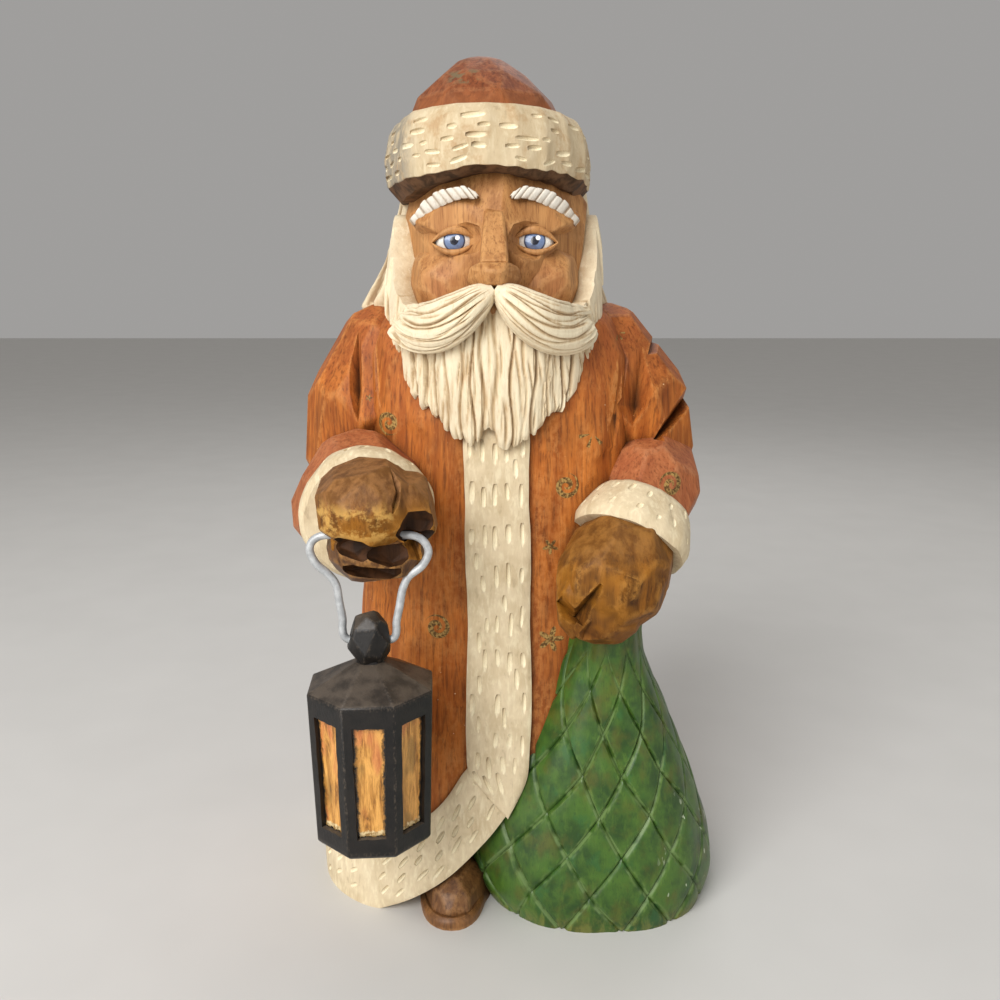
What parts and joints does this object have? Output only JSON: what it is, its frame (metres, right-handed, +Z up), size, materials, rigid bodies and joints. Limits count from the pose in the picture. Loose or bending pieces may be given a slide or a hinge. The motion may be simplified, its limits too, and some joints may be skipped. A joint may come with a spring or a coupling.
{
  "type": "carved wooden santa figure with a lantern",
  "caption": "Hand-carved, painted wooden Father Christmas in a fur-trimmed coat and hat, with a small lantern hanging from his fist on a wire bail and a quilted sack at his side.",
  "frame": {"origin": "a point on the flat sawn underside, below the middle of the head", "axes": "+Z up along the figure's height, -Y out of its front, +X towards the sack"},
  "size_m": [0.1288, 0.1177, 0.25],
  "materials": {
    "painted_wood": "stained and painted carved wood under a satin varnish",
    "galvanised_wire": "dull galvanised wire",
    "lantern_wood": "black paint, with orange panes edged in gold"
  },
  "bodies": {
    "figure": {"carved_figure": "painted_wood", "wire_bail": "galvanised_wire"},
    "lantern": {"lantern": "lantern_wood"}
  },
  "joints": [
    {"name": "lantern_swing", "type": "hinge", "parent": "figure", "child": "lantern", "pos_m": [-0.0338, -0.0625, 0.0972], "axis": [1, 0, 0], "range_deg": [-75, 14]}
  ]
}
